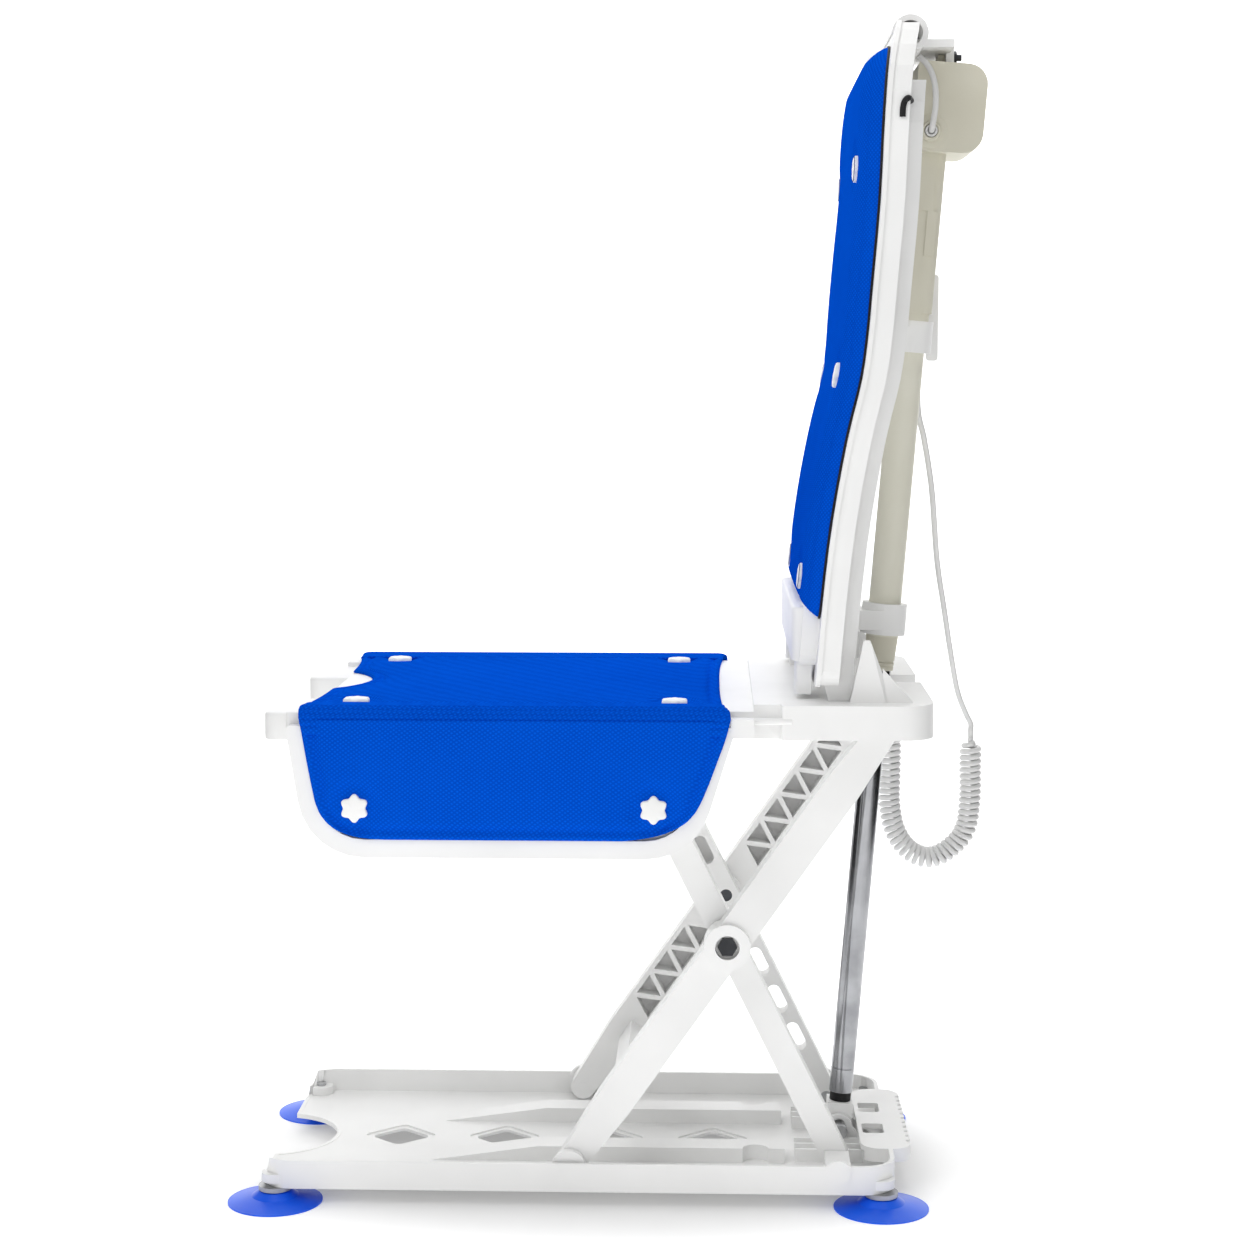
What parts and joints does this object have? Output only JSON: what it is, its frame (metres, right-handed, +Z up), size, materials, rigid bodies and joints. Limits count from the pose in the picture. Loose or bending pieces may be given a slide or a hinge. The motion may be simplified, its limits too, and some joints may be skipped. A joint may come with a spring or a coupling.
{
  "type": "bath lift",
  "caption": "Bath lift with a tray base on suction cups, scissor legs, padded seat with folding side flaps, curved backrest and a spindle drive behind it.",
  "frame": {"origin": "on the floor, under the middle of the raised lift's bounding box without its cord", "axes": "+X to the rear, from the seat's front edge to the backrest; +Y to the sitter's right; +Z up"},
  "size_m": [0.7147, 0.434, 1.061],
  "materials": {
    "white_plastic": "satin",
    "blue_cover": "woven",
    "cup_blue": "gloss",
    "steel": "satin",
    "chrome_rod": "polished",
    "dark_metal": "satin",
    "beige_plastic": "satin",
    "ivory_plastic": "satin",
    "black_rubber": "matte",
    "blue_key": "satin",
    "cord_white": "satin"
  },
  "bodies": {
    "base": {"base_tray": "white_plastic", "suction_cup_fl": "cup_blue", "suction_cup_fr": "cup_blue", "suction_cup_rl": "cup_blue", "suction_cup_rr": "cup_blue", "cup_studs": "steel", "base_pins": "steel", "foot_pin": "steel"},
    "inner_legs": {"inner_leg_left": "white_plastic", "inner_leg_right": "white_plastic", "top_axle": "steel", "top_rollers": "white_plastic", "centre_bolts": "dark_metal", "spacer_washers": "white_plastic"},
    "outer_legs": {"outer_leg_left": "white_plastic", "outer_leg_right": "white_plastic", "outer_beam": "white_plastic", "outer_rollers": "white_plastic"},
    "seat": {"seat_frame": "white_plastic", "seat_cover": "blue_cover", "seat_knobs": "white_plastic", "seat_pins": "steel", "back_pins": "steel", "flap_pins": "steel", "handset": "white_plastic", "handset_holder": "white_plastic", "handset_inlet": "black_rubber"},
    "left_flap": {"flap_left": "white_plastic", "flap_cover_left": "blue_cover", "flap_knobs_left": "white_plastic"},
    "right_flap": {"flap_right": "white_plastic", "flap_cover_right": "blue_cover", "flap_knobs_right": "white_plastic"},
    "backrest": {"back_shell": "white_plastic", "back_cover": "blue_cover", "back_knobs": "white_plastic", "lower_clamp": "white_plastic", "upper_clamp": "white_plastic", "clamp_caps": "white_plastic", "tube_nose": "ivory_plastic", "guide_tube": "ivory_plastic", "drive_casing": "beige_plastic", "head_lower": "beige_plastic", "head_upper": "beige_plastic", "head_bolt": "dark_metal", "screw_bearing": "steel", "lead_screw": "steel", "worm_wheel": "ivory_plastic", "worm": "steel", "drive_motor": "steel", "cord_plug": "cord_white", "cord_gland": "black_rubber", "cord_lead": "cord_white", "cord_curls": "cord_white"},
    "rod": {"rod_tube": "chrome_rod", "rod_nut": "ivory_plastic", "rod_ring": "black_rubber", "rod_foot": "white_plastic"},
    "up_button": {"button_up": "blue_key"},
    "down_button": {"button_down": "blue_key"}
  },
  "joints": [
    {"name": "lift", "type": "hinge", "parent": "base", "child": "inner_legs", "pos_m": [0.21254, 0, 0.036], "axis": [0, -1, 0], "range_deg": [0, 60.38]},
    {"name": "outer_swing", "type": "hinge", "parent": "inner_legs", "child": "outer_legs", "pos_m": [0.11208, 0, 0.239], "axis": [0, 1, 0], "range_deg": [0, 112.32]},
    {"name": "seat_level", "type": "hinge", "parent": "outer_legs", "child": "seat", "pos_m": [0.25454, 0, 0.442], "axis": [0, -1, 0], "range_deg": [0, 51.95]},
    {"name": "recline", "type": "hinge", "parent": "seat", "child": "backrest", "pos_m": [0.21254, 0, 0.452], "axis": [0, 1, 0], "range_deg": [0, 21.12]},
    {"name": "rod_slide", "type": "slide", "parent": "backrest", "child": "rod", "axis": [0.0785, 0, 0.9969], "range_m": [0, 0.39343]},
    {"name": "flap_left_fold", "type": "hinge", "parent": "seat", "child": "left_flap", "pos_m": [-0.06346, -0.188, 0.452], "axis": [-1, 0, 0], "range_deg": [0, 90]},
    {"name": "flap_right_fold", "type": "hinge", "parent": "seat", "child": "right_flap", "pos_m": [-0.06346, 0.188, 0.452], "axis": [1, 0, 0], "range_deg": [0, 90]},
    {"name": "press_up", "type": "slide", "parent": "seat", "child": "up_button", "axis": [0, -1, 0], "range_m": [0, 0.0015], "stiffness_N_per_m": 600},
    {"name": "press_down", "type": "slide", "parent": "seat", "child": "down_button", "axis": [0, -1, 0], "range_m": [0, 0.0015], "stiffness_N_per_m": 600}
  ],
  "couplings": [
    {"joint": "outer_swing", "follows": "lift", "ratio": 1.8602},
    {"joint": "seat_level", "follows": "lift", "ratio": 0.86015},
    {"joint": "recline", "follows": "lift", "ratio": 0.34959},
    {"joint": "rod_slide", "follows": "lift", "m_per_rad": 0.37329}
  ]
}
